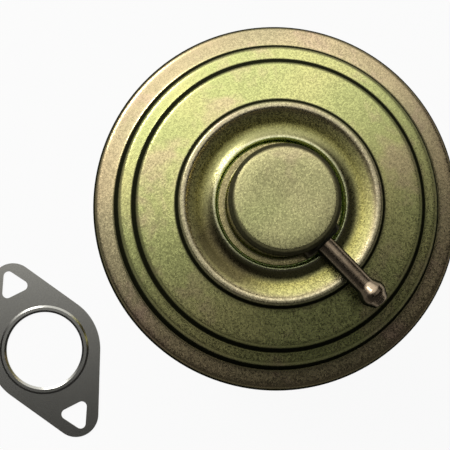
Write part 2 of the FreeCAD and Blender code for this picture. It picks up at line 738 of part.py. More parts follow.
def make_lower_cover():
    """Bowl under the diaphragm, with a flange that the rolled rim grips."""
    body = new_body("lower_cover", "cover_low")
    inset = "bend_share * sheet"
    turned(body, [
        ("bowl_hole_r", "0"),
        ("bowl_floor_r", "0"),
        ("bowl_wall_r", "bowl_depth + sheet"),
        ("grip_r", "bowl_depth + sheet"),
        ("grip_r", "bowl_depth + 2 * sheet"),
        (f"bowl_wall_r - {inset}", "bowl_depth + 2 * sheet"),
        (f"bowl_floor_r - {inset}", "sheet"),
        ("bowl_hole_r", "sheet"),
    ])
    round_rings(body, "bowl_round", [("bowl_floor_r", "0")])
    vents = new_sketch(body, "XY_Plane")
    circle(vents, "vent_circle_r", "0", "vent_r")
    around(body, [pocket(body, vents, "bowl_round", forward=True)], BREATHER_HOLES)
    rivets = new_sketch(body, "XY_Plane")
    circle(rivets, RIVET_PLACE, RIVET_PLACE, "rivet_r")
    around(body, [pocket(body, rivets, "sheet", forward=True)], FRAME_RIVETS)


def make_frame_rivets():
    """Rivets through the frame's top flange and the bowl, one node of four."""
    body = new_body("frame_rivets", "cover_low - frame_sheet - rivet_head")
    grip = "frame_sheet + sheet"
    features = []
    for low, length, radius in (
        (None, "rivet_head", "rivet_head_r"),
        ("rivet_head", grip, "rivet_r"),
        (f"rivet_head + {grip}", "rivet_head", "rivet_head_r"),
    ):
        sketch = new_sketch(body, "XY_Plane", low)
        circle(sketch, RIVET_PLACE, RIVET_PLACE, radius)
        features.append(pad(body, sketch, length))
    around(body, features, FRAME_RIVETS)
    round_rings(body, "rivet_round", [
        ("rivet_head_r", "0"),
        ("rivet_head_r", f"2 * rivet_head + {grip}"),
    ])


def make_diaphragm():
    """Moulded rubber: flat middle, sloping web and a bead held in the rim."""
    body = new_body("diaphragm", "web_low")
    bead = "bead_low - web_low"
    web = f"{bead} + (bead_thick - web) / 2"
    inner = "neck_r + neck_gap"
    turned(body, [
        (inner, "0"),
        ("web_low_r", "0"),
        ("web_top_r", web),
        ("bead_in_r", web),
        ("bead_in_r", bead),
        ("grip_r", bead),
        ("grip_r", f"{bead} + bead_thick"),
        ("bead_in_r", f"{bead} + bead_thick"),
        ("bead_in_r", f"{web} + web"),
        ("web_top_r - web", f"{web} + web"),
        ("web_low_r - web", "web"),
        (inner, "web"),
    ])
    round_rings(body, "web_round", [
        ("web_low_r", "0"),
        ("web_top_r - web", f"{web} + web"),
    ])


def make_lower_plate():
    body = new_body("lower_plate", "plates_low")
    inner = "neck_r + neck_gap"
    turned(body, [
        (inner, "0"),
        ("plate_r", "0"),
        ("plate_r", "plate_thick"),
        (inner, "plate_thick"),
    ])
    round_rings(body, "plate_thick / 2", [("plate_r", "0")])


def make_spring_cup():
    """Plate above the diaphragm, drawn up round the spring."""
    body = new_body("spring_cup", "cup_low")
    inner = "neck_r + neck_gap"
    turned(body, [
        (inner, "0"),
        ("plate_r", "0"),
        ("plate_r", "cup_high"),
        ("plate_r - sheet", "cup_high"),
        ("plate_r - sheet", "sheet"),
        (inner, "sheet"),
    ])
    round_rings(body, "cup_round", [("plate_r", "0")])


def make_lock_washer():
    body = new_body("lock_washer", "cup_floor")
    sketch = new_sketch(body, "XY_Plane")
    circle(sketch, "0", "0", "washer_r")
    circle(sketch, "0", "0", "neck_r + neck_gap")
    pad(body, sketch, "washer_thick")


def make_stem_nut():
    body = new_body("stem_nut", "nut_low")
    sketch = new_sketch(body, "XY_Plane")
    side = "nut_flats / sqrt(12)"
    outline(sketch, [
        (side, "nut_flats / 2"),
        (f"-{side}", "nut_flats / 2"),
        (f"-2 * {side}", "0"),
        (f"-{side}", "-nut_flats / 2"),
        (side, "-nut_flats / 2"),
        (f"2 * {side}", "0"),
    ])
    circle(sketch, "0", "0", "neck_r")
    pad(body, sketch, "nut_high")


def half_coil(body, side, low, rise):
    """Half a turn of wire: a round section turned about an axis that leans with it."""
    sketch = new_sketch(body, "XZ_Plane")
    circle(sketch, f"{side}coil_r", low, "wire_r")
    middle = f"{low} + {rise} / 2"
    lean = "0" if rise == "0" else f"{side}{rise} / 2"
    foot = Vector(0, value(middle), 0)
    head = Vector(value(lean), value(f"{middle} + coil_r"), 0)
    line = sketch.addGeometry(Part.LineSegment(foot, head), True)
    pin_point(sketch, line, 1, "0", middle)
    pin_point(sketch, line, 2, lean, f"{middle} + coil_r")
    feature = body.newObject("PartDesign::Revolution", body.Label + "_half")
    feature.Profile = sketch
    feature.ReferenceAxis = (sketch, ["Axis0"])
    feature.Angle = 180
    return checked(body, feature, True)


def make_return_spring():
    """Coil between the spring cup and the upper cover, with a closed end on each."""
    body = new_body("return_spring", "cup_floor")
    half_coil(body, "", "wire_r", "0")
    for number in range(ACTIVE_HALF_TURNS):
        side = "" if number % 2 else "-"
        half_coil(body, side, f"wire_r + {number} * coil_rise", "coil_rise")
    side = "" if ACTIVE_HALF_TURNS % 2 else "-"
    half_coil(body, side, "spring_high - wire_r", "0")


def make_upper_cover():
    """Stepped cover drawn from sheet, its rim rolled under the bowl's flange."""
    body = new_body("upper_cover", "rim_low")
    inset = "bend_share * sheet"
    inner = "rim_r - sheet"
    turned(body, [
        ("cover_hole_r", "pocket_floor"),
        ("pocket_r", "pocket_floor"),
        ("pocket_r", "valley + collar_rise"),
        ("collar_r", "valley + collar_rise"),
        ("collar_r", "valley"),
        ("valley_r", "valley"),
        ("crest_in_r", "crest"),
        ("crest_out_r", "crest"),
        ("third_foot_r", "annulus_top"),
        ("second_top_r", "annulus_low"),
        ("second_foot_r", "second_foot"),
        ("first_top_r", "band_top"),
        ("first_foot_r", "band_foot"),
        ("rim_r", "rim_top"),
        ("rim_r", "0"),
        ("tuck_r", "0"),
        ("tuck_r", "sheet"),
        (inner, "sheet"),
        (inner, "rim_top - sheet"),
        (f"first_foot_r - {inset}", "band_foot - sheet"),
        (f"first_top_r - {inset}", "band_top - sheet"),
        (f"second_foot_r - {inset}", "second_foot - sheet"),
        (f"second_top_r - {inset}", "annulus_low - sheet"),
        (f"third_foot_r - {inset}", "annulus_top - sheet"),
        ("(crest_in_r + crest_out_r) / 2", "crest - sheet"),
        (f"valley_r + {inset}", "valley - sheet"),
        ("collar_r", "valley - sheet"),
        ("pocket_r", "pocket_floor - sheet"),
        ("cover_hole_r", "pocket_floor - sheet"),
    ])
    round_rings(body, "rim_round", [("rim_r", "rim_top")])
    round_rings(body, "tuck_round", [("rim_r", "0")])
    round_rings(body, "step_round", [
        ("first_top_r", "band_top"),
        ("second_top_r", "annulus_low"),
        (f"first_foot_r - {inset}", "band_foot - sheet"),
        (f"second_foot_r - {inset}", "second_foot - sheet"),
    ])
    round_rings(body, "foot_round", [
        ("first_foot_r", "band_foot"),
        ("second_foot_r", "second_foot"),
        (f"first_top_r - {inset}", "band_top - sheet"),
        (f"second_top_r - {inset}", "annulus_low - sheet"),
        ("third_foot_r", "annulus_top"),
        ("collar_r", "valley"),
    ])
    round_rings(body, "collar_round", [
        ("crest_out_r", "crest"),
        ("crest_in_r", "crest"),
        ("collar_r", "valley + collar_rise"),
        ("pocket_r", "valley + collar_rise"),
    ])
    round_rings(body, "valley_round", [("valley_r", "valley")])


def make_vacuum_cap():
    """Drawn cap that seats in the cover's pocket, with a hole for the nipple."""
    body = new_body("vacuum_cap", "cap_seat", "nipple_angle")
    inner = "cap_r - cap_sheet"
    turned(body, [
        (inner, "0"),
        ("pocket_r - cap_flange_gap", "0"),
        ("pocket_r - cap_flange_gap", "cap_sheet"),
        ("cap_r", "cap_sheet"),
        ("cap_r", "cap_high"),
        ("0", "cap_high + cap_crown"),
        ("0", "cap_high + cap_crown - cap_sheet"),
        (inner, "cap_high - cap_sheet"),
    ])
    round_rings(body, "cap_round", [("cap_r", "cap_high")])
    round_rings(body, "cap_round - cap_sheet", [(inner, "cap_high - cap_sheet")])
    round_rings(body, "cap_foot_round", [("cap_r", "cap_sheet")])
    hole = new_sketch(body, "YZ_Plane")
    circle(hole, "0", "nipple_rise", "nipple_pilot_r")
    pocket(body, hole, "cap_r", forward=True)


def make_nipple_collar():
    """Brazing collar between the cap's round wall and the nipple's shoulder."""
    body = new_body("nipple_collar", "nipple_height", "nipple_angle")
    disc = new_sketch(body, "YZ_Plane", "cap_r - ring_side")
    band_round(disc, [
        ("ring_r - ring_half", "0", "ring_half"),
        ("-(ring_r - ring_half)", "0", "ring_half"),
    ])
    circle(disc, "0", "0", "nipple_pilot_r")
    pad(body, disc, "ring_side + ring_face")
    wall = new_sketch(body, "XY_Plane")
    circle(wall, "0", "0", "cap_r")
    pocket(body, wall, "3 * ring_r", both_ways=True)
    face = value("collar_face")
    hole = value("nipple_pilot_r")

    def face_edge(edge):
        round_hole = isinstance(edge.Curve, Part.Circle) and edge.Curve.Radius < hole + EDGE_MATCH
        return edge.BoundBox.XMin > face - EDGE_MATCH and not round_hole

    round_edges(body, "tip_round", face_edge)


def make_vacuum_nipple():
    """Hose nipple: pilot through the wall, hose land and a bulb at the end."""
    body = new_body("vacuum_nipple", "nipple_height", "nipple_angle")
    start = "cap_r - cap_sheet - nipple_inset"
    crown = "land_end + barb_ramp"
    nose = f"{crown} + barb_flat"
    tip = f"{nose} + barb_nose"
    turned(body, [
        (start, "nipple_bore_r"),
        (start, "nipple_pilot_r"),
        ("collar_face", "nipple_pilot_r"),
        ("collar_face", "nipple_r"),
        ("land_end", "nipple_r"),
        (crown, "barb_r"),
        (nose, "barb_r"),
        (tip, "barb_tip_r"),
        (tip, "nipple_bore_r"),
    ], axis="H_Axis")
    round_rings(body, "barb_round", [
        ("nipple_r", "land_end"),
        ("barb_r", crown),
        ("barb_r", nose),
    ], along="x")
    round_rings(body, "tip_round", [("barb_tip_r", tip)], along="x")


def make_gasket():
    """Embossed steel gasket for the base flange, lying beside the valve."""
    body = new_body("gasket", turn="gasket_angle", east="gasket_x", north="gasket_y")
    plate = new_sketch(body, "XY_Plane")
    flange_plate(plate, "bolt_spacing", "flange_mid_r", "flange_end_r")
    circle(plate, "0", "0", "bore_r")
    for side in ("", "-"):
        reach = "gasket_corner_reach"
        across = f"bolt_spacing / 2 - {reach} / 2"
        corners = [
            (f"{side}(bolt_spacing / 2 + {reach})", "0"),
            (f"{side}({across})", f"{side}{reach} * sqrt(0.75)"),
            (f"{side}({across})", f"-({side}{reach}) * sqrt(0.75)"),
        ]
        band_round(plate, [(x, y, "gasket_corner_r") for x, y in corners])
    pad(body, plate, "gasket_thick")
    turned(body, [
        ("bore_r", "gasket_thick / 2"),
        ("bore_r + gasket_bead_wide", "gasket_thick"),
        ("bore_r + gasket_bead_wide - gasket_bead_slope", "gasket_thick + gasket_bead"),
        ("bore_r + gasket_bead_slope", "gasket_thick + gasket_bead"),
        ("bore_r", "gasket_thick"),
    ])


MAKERS = [
    make_valve_body,
    make_valve_seat,
    make_poppet,
    make_valve_stem,
    make_guide_bush,
    make_deposit_shield,
    make_stem_seal,
    make_seal_retainer,
    make_insulating_gasket,
    make_support_frame,
    make_frame_screws,
    make_lower_cover,
    make_frame_rivets,
    make_diaphragm,
    make_lower_plate,
    make_spring_cup,
    make_lock_washer,
    make_stem_nut,
    make_return_spring,
    make_upper_cover,
    make_vacuum_cap,
    make_nipple_collar,
    make_vacuum_nipple,
    make_gasket,
]
for maker in MAKERS:
    maker()
doc.recompute()

failed = [item.Name for item in doc.Objects if {"Invalid", "Error"} & set(item.State)]
if failed:
    raise RuntimeError("failed objects: " + ", ".join(failed))

os.makedirs("parts", exist_ok=True)
for body in doc.findObjects("PartDesign::Body"):
    shape = body.Shape
    if shape.isNull() or not shape.isValid():
        raise RuntimeError(body.Label + " has no valid shape")
    print(f"{body.Label}: {len(shape.Solids)} solids, {shape.Volume:.1f} mm3")
    shape.exportStep(f"parts/{body.Label}.step")
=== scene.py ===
# %% [markdown]
# # A vacuum EGR valve and its flange gasket
# The valve was drawn in CAD, so every solid already has its size and its place. This
# script dresses it: it gives each piece its finish, remakes the drawn sheet, the rubber,
# the spring and the small fasteners in more detail, and adds the floor, the light and
# the camera. Lengths are in metres. Profiles are in millimetres and are multiplied by MM.

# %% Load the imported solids
import bpy
import bmesh
import math
from mathutils import Matrix, Vector


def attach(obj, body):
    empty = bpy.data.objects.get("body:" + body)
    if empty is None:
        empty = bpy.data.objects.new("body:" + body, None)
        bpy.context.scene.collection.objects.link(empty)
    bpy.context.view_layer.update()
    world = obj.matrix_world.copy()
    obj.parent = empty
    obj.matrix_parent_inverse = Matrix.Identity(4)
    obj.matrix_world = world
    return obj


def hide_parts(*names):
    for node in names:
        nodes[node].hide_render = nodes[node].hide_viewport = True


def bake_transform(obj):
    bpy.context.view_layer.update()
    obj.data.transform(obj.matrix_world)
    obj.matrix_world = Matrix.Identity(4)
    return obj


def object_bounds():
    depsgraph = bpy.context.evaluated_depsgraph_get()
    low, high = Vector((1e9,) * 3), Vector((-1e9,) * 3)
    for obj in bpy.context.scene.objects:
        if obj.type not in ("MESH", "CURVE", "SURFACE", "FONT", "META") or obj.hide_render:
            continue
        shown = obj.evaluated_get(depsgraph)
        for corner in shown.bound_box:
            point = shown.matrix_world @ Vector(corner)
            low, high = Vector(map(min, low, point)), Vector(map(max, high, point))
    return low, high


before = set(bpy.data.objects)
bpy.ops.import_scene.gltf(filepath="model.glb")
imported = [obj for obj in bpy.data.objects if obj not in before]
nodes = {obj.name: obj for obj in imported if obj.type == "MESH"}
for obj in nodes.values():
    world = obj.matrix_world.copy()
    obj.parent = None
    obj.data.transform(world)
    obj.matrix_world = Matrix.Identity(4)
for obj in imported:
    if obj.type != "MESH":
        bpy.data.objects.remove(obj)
cad_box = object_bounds()
MM = 0.001
print(len(nodes), "solids, box", [tuple(round(v, 4) for v in corner) for corner in cad_box])

# %% [markdown]
# ## Camera
# The photograph looks almost straight down from about 29 cm above the bench, a little
# to the left of the can, and leans a few degrees to the upper right. A position and a
# direction say that directly. The up direction of the picture is the valve's +Y.

# %% Place the camera
PHOTO_SIDE = 450
FOCAL_PIXELS = 759.0
SENSOR_WIDTH = 36.0
CAMERA_PLACE = (-0.0206, -0.0167, 0.289)
LOOK = Vector((0.0355, 0.0592, -1.0))

camera_data = bpy.data.cameras.new("camera")
camera_data.sensor_width = SENSOR_WIDTH
camera_data.lens = FOCAL_PIXELS / PHOTO_SIDE * SENSOR_WIDTH
camera_data.clip_start = 0.01
camera = bpy.data.objects.new("camera", camera_data)
back = -LOOK.normalized()
right = Vector((0.0, 1.0, 0.0)).cross(back).normalized()
turn = Matrix((right, back.cross(right), back)).transposed().to_4x4()
camera.matrix_world = Matrix.Translation(CAMERA_PLACE) @ turn
bpy.context.scene.collection.objects.link(camera)
bpy.context.scene.camera = camera
print("lens", round(camera_data.lens, 1), "mm")

# %% [markdown]
# ## Shader helpers
# Every finish is a small node tree. Making each node and link by hand is long, so one
# helper adds a node with its settings and inputs. An input is given by its name, or as
# i0, i1 and so on by its place, because several inputs of one node can share a name.

# %% Materials and nodes
def new_material(name):
    material = bpy.data.materials.new(name)
    material.use_nodes = True
    tree = material.node_tree
    tree.nodes.clear()
    shader = tree.nodes.new("ShaderNodeBsdfPrincipled")
    output = tree.nodes.new("ShaderNodeOutputMaterial")
    tree.links.new(shader.outputs["BSDF"], output.inputs["Surface"])
    return material, tree, shader


def set_input(tree, socket, source):
    """Link a socket, or give a value to it."""
    if isinstance(source, bpy.types.NodeSocket):
        tree.links.new(source, socket)
    else:
        socket.default_value = source


def add_node(tree, kind, settings=None, **inputs):
    node = tree.nodes.new("ShaderNode" + kind)
    for key, setting in (settings or {}).items():
        setattr(node, key, setting)
    for name, source in inputs.items():
        by_place = name[0] == "i" and name[1:].isdigit()
        set_input(tree, node.inputs[int(name[1:]) if by_place else name], source)
    return node


def math_node(tree, operation, first, second=0.0, third=0.0):
    settings = {"operation": operation}
    return add_node(tree, "Math", settings, i0=first, i1=second, i2=third).outputs[0]


def vector_math(tree, operation, *sources, result="Vector"):
    inputs = {f"i{index}": source for index, source in enumerate(sources)}
    return add_node(tree, "VectorMath", {"operation": operation}, **inputs).outputs[result]


def split(tree, vector):
    return add_node(tree, "SeparateXYZ", None, Vector=vector).outputs


# %% [markdown]
# ## Patterns and colours
# The patterns are made on Object coordinates. Those are metres on the piece, so a grain
# keeps its size on every piece and goes with the piece when it moves.

# %% Noise, ranges and mixes
COLOUR_MIX_INPUTS = (0, 6, 7)
COLOUR_MIX_OUTPUT = 2


def object_place(tree):
    return tree.nodes.new("ShaderNodeTexCoord").outputs["Object"]


def noise(tree, place, size, detail=3.0, rough=0.5, twist=0.0):
    """Noise whose features are about size metres across, as a value from 0 to 1."""
    node = add_node(tree, "TexNoise", {"noise_dimensions": "3D"}, Vector=place,
                    Scale=1.0 / size, Detail=detail, Roughness=rough, Distortion=twist)
    return node.outputs[0]


def spread(tree, value, low, high, to_low=0.0, to_high=1.0):
    """The value's range from low to high, stretched to a new range and clamped."""
    node = add_node(tree, "MapRange", None, Value=value)
    for name, number in (("From Min", low), ("From Max", high),
                         ("To Min", to_low), ("To Max", to_high)):
        node.inputs[name].default_value = number
    return node.outputs[0]


def mix_colours(tree, share, first, second, blend="MIX"):
    node = add_node(tree, "Mix", {"data_type": "RGBA", "blend_type": blend})
    for index, source in zip(COLOUR_MIX_INPUTS, (share, first, second)):
        colour = (*source, 1.0) if isinstance(source, tuple) else source
        set_input(tree, node.inputs[index], colour)
    return node.outputs[COLOUR_MIX_OUTPUT]


def ramp(tree, value, stops):
    """A colour ramp: stops are (position, colour or grey) from left to right."""
    node = add_node(tree, "ValToRGB", None, Fac=value)
    elements = node.color_ramp.elements
    while len(elements) < len(stops):
        elements.new(0.5)
    for element, (position, stop) in zip(elements, stops):
        element.position = position
        element.color = (*(stop if isinstance(stop, tuple) else (stop,) * 3), 1.0)
    return node.outputs["Color"]


# %% [markdown]
# ## Finishes that follow the shape
# A pressed can is round, so most of what its finish does depends on the distance from
# its axis or on the height. These helpers measure both in the node tree.

# %% Distance, height and bumps
RAMP_REACH = 50.0


def axis_distance(tree, place, centre=(0.0, 0.0)):
    """Distance of each point from an upright axis, in metres."""
    parts = split(tree, place)
    east = math_node(tree, "SUBTRACT", parts["X"], centre[0])
    north = math_node(tree, "SUBTRACT", parts["Y"], centre[1])
    flat = add_node(tree, "CombineXYZ", None, X=east, Y=north).outputs[0]
    return vector_math(tree, "LENGTH", flat, result="Value")


def by_radius(tree, distance, stops):
    """A ramp over the distance from the axis: stops are (radius in mm, colour or grey)."""
    share = math_node(tree, "DIVIDE", distance, RAMP_REACH * MM)
    return ramp(tree, share, [(radius / RAMP_REACH, stop) for radius, stop in stops])


def above(tree, place, low, high):
    """0 below one height and 1 above the next, in metres."""
    return spread(tree, split(tree, place)["Z"], low, high)


def bump(tree, shader, layers):
    """Chain bumps: each layer is (height, strength, depth in metres)."""
    normal = None
    for height, strength, depth in layers:
        node = add_node(tree, "Bump", None, Height=height, Strength=strength, Distance=depth)
        if normal is not None:
            tree.links.new(normal, node.inputs["Normal"])
        normal = node.outputs["Normal"]
    tree.links.new(normal, shader.inputs["Normal"])


def dress(material, *names):
    for name in names:
        data = nodes[name].data
        data.materials.clear()
        data.materials.append(material)
    print(material.name, "on", ", ".join(names))


# %% [markdown]
# ## Yellow passivated zinc
# The can is sheet steel, blasted, zinc plated and yellow passivated. Blasting leaves a
# fine matt grain. A cell pattern makes it: each cell gets its own shade, its own gloss
# and a slight lean, so that the grain sparkles as small facets do. The film on it is a
# function of its own, because the pieces differ in colour. Where the film carries painted
# shade, it is nearly black and hardly shines.

# %% The passivated finish
GOLD = (0.88, 0.81, 0.33)
GREEN = (0.60, 0.68, 0.25)
ROSE = (0.84, 0.58, 0.42)
# Nearly black painted shade for the step walls, the rim's edge, the cap's edge and the nipple's
# underside.
PAINTED_SHADE_BLACK = (0.016, 0.017, 0.008)
CLOUD_SIZE = 0.030
PATCH_SIZE = 0.012
GRAIN_SIZE = 0.00029


def passivated(name, film, rough=0.28, metal=1.0, grain=0.32, facets=0.075):
    """film gives a colour and the share of painted shade from (tree, place, clouds, patches)."""
    material, tree, shader = new_material(name)
    place = object_place(tree)
    clouds = noise(tree, place, CLOUD_SIZE, 2.0, 0.5)
    patches = noise(tree, place, PATCH_SIZE, 3.0, 0.6, 0.3)
    colour, painted_shade = film(tree, place, clouds, patches)
    cells = add_node(tree, "TexVoronoi", None, Vector=place, Scale=1.0 / GRAIN_SIZE)
    cells = cells.outputs["Color"]
    fine = add_node(tree, "SeparateColor", None, i0=cells).outputs[0]
    shade = spread(tree, fine, 0.0, 1.0, 1.0 - grain, 1.0 + grain * 0.6)
    grey = add_node(tree, "CombineColor", None, i0=shade, i1=shade, i2=shade).outputs[0]
    colour = mix_colours(tree, 1.0, colour, grey, "MULTIPLY")
    set_input(tree, shader.inputs["Base Color"], colour)
    shader.inputs["Specular IOR Level"].default_value = 0.0
    # Painted shade hardly shines: it turns the metal down.
    shine = math_node(tree, "MULTIPLY_ADD", painted_shade, -metal, metal)
    set_input(tree, shader.inputs["Metallic"], shine)
    gloss = spread(tree, fine, 0.3, 0.7, rough + 0.08, rough - 0.06)
    set_input(tree, shader.inputs["Roughness"], gloss)
    lean = vector_math(tree, "SUBTRACT", cells, (0.5, 0.5, 0.5))
    smooth = tree.nodes.new("ShaderNodeNewGeometry").outputs["Normal"]
    facet = vector_math(tree, "MULTIPLY_ADD", lean, (facets,) * 3, smooth)
    set_input(tree, shader.inputs["Normal"], vector_math(tree, "NORMALIZE", facet))
    return material


# %% [markdown]
# ## The can's film
# The film is gold with soft patches of green and rose. It also changes with the
# distance from the axis: olive in the dish and rose on the rim. Cream lines on the crest
# and on the collar's top are painted highlights, and darker bands in the dish's valley
# and at the rim's edge are painted shade. One side of the dish is darker brown. The steep
# walls between the steps reflect a dark room in the photograph and show as very dark
# rings. They get a nearly black painted shade here, so that the rings show from every side.

# %% The can
# Radius in mm and colour: the cream at 16.7 and 24.2 mm is painted highlight, the dark olive at
# 17.2 to 19.0 mm and the darkening toward 48.0 mm are painted shade, and the rest is the film's
# own colour.
FILM_AND_PAINTED_LIGHT_BANDS = [
    (15.0, (0.66, 0.56, 0.28)),
    (16.1, (0.40, 0.62, 0.22)),
    (16.7, (0.86, 0.80, 0.50)),
    (17.2, (0.36, 0.33, 0.16)),
    (19.0, (0.32, 0.30, 0.12)),
    (20.6, (0.60, 0.54, 0.16)),
    (22.6, (0.74, 0.68, 0.26)),
    (23.6, (0.70, 0.58, 0.32)),
    (24.2, (0.88, 0.76, 0.50)),
    (25.2, (0.70, 0.58, 0.38)),
    (27.0, (0.84, 0.79, 0.32)),
    (40.0, (0.86, 0.82, 0.34)),
    (43.0, (0.80, 0.60, 0.40)),
    (46.5, (0.68, 0.48, 0.34)),
    (48.0, (0.40, 0.28, 0.18)),
]
BAND_SHARES = [(24.0, 0.9), (26.0, 0.45), (42.0, 0.45), (43.0, 0.65)]
# A dark brown patch on one side of the dish.
DISH_DARK_PATCH = (0.13, 0.10, 0.05)
DARK_PATCH_CENTRE = (-0.0150, -0.0135)
DARK_PATCH_RING = [(17.3, 0.0), (17.9, 1.0), (22.4, 1.0), (23.6, 0.0)]
# Painted shade on the steep step walls and the rim's edge: radius in mm and share.
PAINTED_SHADE_WALLS = [
    (25.0, 0.0), (25.6, 1.0), (26.5, 1.0), (26.7, 0.0),
    (35.5, 0.0), (36.3, 1.0), (37.6, 1.0), (37.8, 0.0),
    (40.1, 0.0), (41.0, 1.0), (42.4, 1.0), (42.6, 0.0),
    (46.9, 0.0), (47.4, 1.0),
]


def can_film_and_painted_light(tree, place, clouds, patches):
    colour = mix_colours(tree, spread(tree, clouds, 0.42, 0.62), GOLD, GREEN)
    colour = mix_colours(tree, spread(tree, patches, 0.54, 0.70, 0.0, 0.8), colour, ROSE)
    distance = axis_distance(tree, place)
    film_and_light = by_radius(tree, distance, FILM_AND_PAINTED_LIGHT_BANDS)
    colour = mix_colours(tree, by_radius(tree, distance, BAND_SHARES), colour, film_and_light)
    # Darker brown on one side of the dish.
    dark_patch = spread(tree, axis_distance(tree, place, DARK_PATCH_CENTRE), 0.007, 0.017, 0.85, 0.0)
    dark_patch = math_node(tree, "MULTIPLY", by_radius(tree, distance, DARK_PATCH_RING), dark_patch)
    colour = mix_colours(tree, dark_patch, colour, DISH_DARK_PATCH)
    # Nearly black painted shade on the step walls and the rim's edge.
    shaded_walls = by_radius(tree, distance, PAINTED_SHADE_WALLS)
    painted_shade = math_node(tree, "MULTIPLY", shaded_walls, above(tree, place, 0.0895, 0.0905))
    return mix_colours(tree, painted_shade, colour, PAINTED_SHADE_BLACK), painted_shade


can_zinc = passivated("passivated_can", can_film_and_painted_light)
dress(can_zinc, "lower_cover", "support_frame")

# %% [markdown]
# ## The films of the cap, the nipple and its collar
# The cap's top is like the can's middle. Its wall is darkened to a dull dark zinc as
# painted shade, its upper edge is nearly black painted shade and its foot is yellow. The
# nipple is smoother and more coppery, and it has nearly black painted shade where it
# doesn't face upward. The brazing collar is nearly black, all painted shade.

# %% Cap, nipple and collar
def cap_film_and_painted_shade(tree, place, clouds, patches):
    distance = axis_distance(tree, place)
    # Nearly black painted shade on the top's outer edge.
    edge = by_radius(tree, distance, [(12.0, 0.0), (12.6, 0.9)])
    painted_shade = math_node(tree, "MULTIPLY", edge, above(tree, place, 0.1085, 0.1105))
    green = spread(tree, clouds, 0.4, 0.65, 0.0, 0.6)
    colour = mix_colours(tree, green, (0.88, 0.78, 0.40), GREEN)
    colour = mix_colours(tree, spread(tree, patches, 0.55, 0.75, 0.0, 0.5), colour, ROSE)
    # The wall is darkened as painted shade.
    wall_shade = by_radius(tree, distance, [(11.6, 0.0), (12.6, 0.7), (14.4, 0.8), (14.7, 0.0)])
    colour = mix_colours(tree, wall_shade, colour, (0.30, 0.25, 0.13))
    foot = by_radius(tree, distance, [(14.2, 0.0), (14.8, 0.8)])
    colour = mix_colours(tree, foot, colour, (0.66, 0.55, 0.27))
    return mix_colours(tree, painted_shade, colour, PAINTED_SHADE_BLACK), painted_shade


def nipple_film_and_painted_shade(tree, place, clouds, patches):
    tone = spread(tree, patches, 0.4, 0.6)
    colour = mix_colours(tree, tone, (0.40, 0.30, 0.20), (0.56, 0.44, 0.30))
    # Nearly black painted shade where the nipple faces down.
    upward = split(tree, tree.nodes.new("ShaderNodeNewGeometry").outputs["Normal"])["Z"]
    painted_shade = spread(tree, upward, 0.50, 0.85, 1.0, 0.0)
    return mix_colours(tree, painted_shade, colour, PAINTED_SHADE_BLACK), painted_shade


def collar_painted_shade(tree, place, clouds, patches):
    # Nearly black: the whole collar is painted shade.
    tone = spread(tree, patches, 0.4, 0.6)
    return mix_colours(tree, tone, (0.03, 0.03, 0.02), (0.06, 0.05, 0.03)), 0.0


cap_zinc = passivated("passivated_cap", cap_film_and_painted_shade)
nipple_zinc = passivated("passivated_nipple", nipple_film_and_painted_shade, rough=0.20, grain=0.10, facets=0.03)
collar_painted_shade_zinc = passivated("passivated_collar_painted_shade", collar_painted_shade, metal=0.5)
dress(nipple_zinc, "vacuum_nipple")
dress(collar_painted_shade_zinc, "nipple_collar")

# %% [markdown]
# ## Plain metals, rubber and fibre
# The rest is simpler: two close colours mixed by a fine noise, one roughness and a
# light bump from the same noise. A wider noise makes faint clouds in colour and gloss.

# %% The plain finish
def plain_finish(name, dark, light, grain, rough, metal, depth, clouds=1.0):
    """grain and depth are the size and the height of the fine noise, in metres."""
    material, tree, shader = new_material(name)
    place = object_place(tree)
    fine = noise(tree, place, grain, 4.0, 0.6)
    wide = noise(tree, place, grain * 12, 2.0, 0.5)
    colour = mix_colours(tree, spread(tree, fine, 0.35, 0.65), dark, light)
    cloud = spread(tree, wide, 0.35, 0.7, 0.0, 0.35 * clouds)
    set_input(tree, shader.inputs["Base Color"], mix_colours(tree, cloud, colour, dark))
    shader.inputs["Metallic"].default_value = metal
    gloss = spread(tree, wide, 0.3, 0.7, rough - 0.05 * clouds, rough + 0.08 * clouds)
    set_input(tree, shader.inputs["Roughness"], gloss)
    bump(tree, shader, [(fine, 0.4, depth)])
    return material


# %% Plain finishes on their pieces
bright_steel = plain_finish("bright_steel", (0.40, 0.40, 0.41), (0.55, 0.55, 0.56),
                            grain=0.0006, rough=0.32, metal=1.0, depth=0.00003)
plated_steel = plain_finish("plated_steel", (0.34, 0.34, 0.35), (0.5, 0.5, 0.52),
                            grain=0.0007, rough=0.38, metal=1.0, depth=0.00004)
spring_wire = plain_finish("spring_wire", (0.20, 0.20, 0.21), (0.34, 0.34, 0.36),
                           grain=0.0005, rough=0.34, metal=1.0, depth=0.00002)
bronze = plain_finish("bronze", (0.30, 0.18, 0.08), (0.5, 0.33, 0.16),
                      grain=0.0006, rough=0.45, metal=0.9, depth=0.00004)
rubber = plain_finish("seal_rubber", (0.018, 0.018, 0.02), (0.035, 0.035, 0.037),
                      grain=0.0008, rough=0.6, metal=0.0, depth=0.00005)
fibre = plain_finish("fibre_sheet", (0.10, 0.095, 0.085), (0.2, 0.19, 0.17),
                     grain=0.0006, rough=0.85, metal=0.0, depth=0.0001)
gasket_steel = plain_finish("gasket_steel", (0.44, 0.43, 0.39), (0.52, 0.51, 0.46),
                            grain=0.0004, rough=0.22, metal=1.0, depth=0.000002, clouds=0.1)
dress(bright_steel, "valve_seat", "poppet", "valve_stem", "deposit_shield")
dress(plated_steel, "seal_retainer", "frame_rivets", "lower_plate", "spring_cup", "lock_washer")
dress(bronze, "guide_bush")
dress(fibre, "insulating_gasket")
dress(gasket_steel, "gasket")

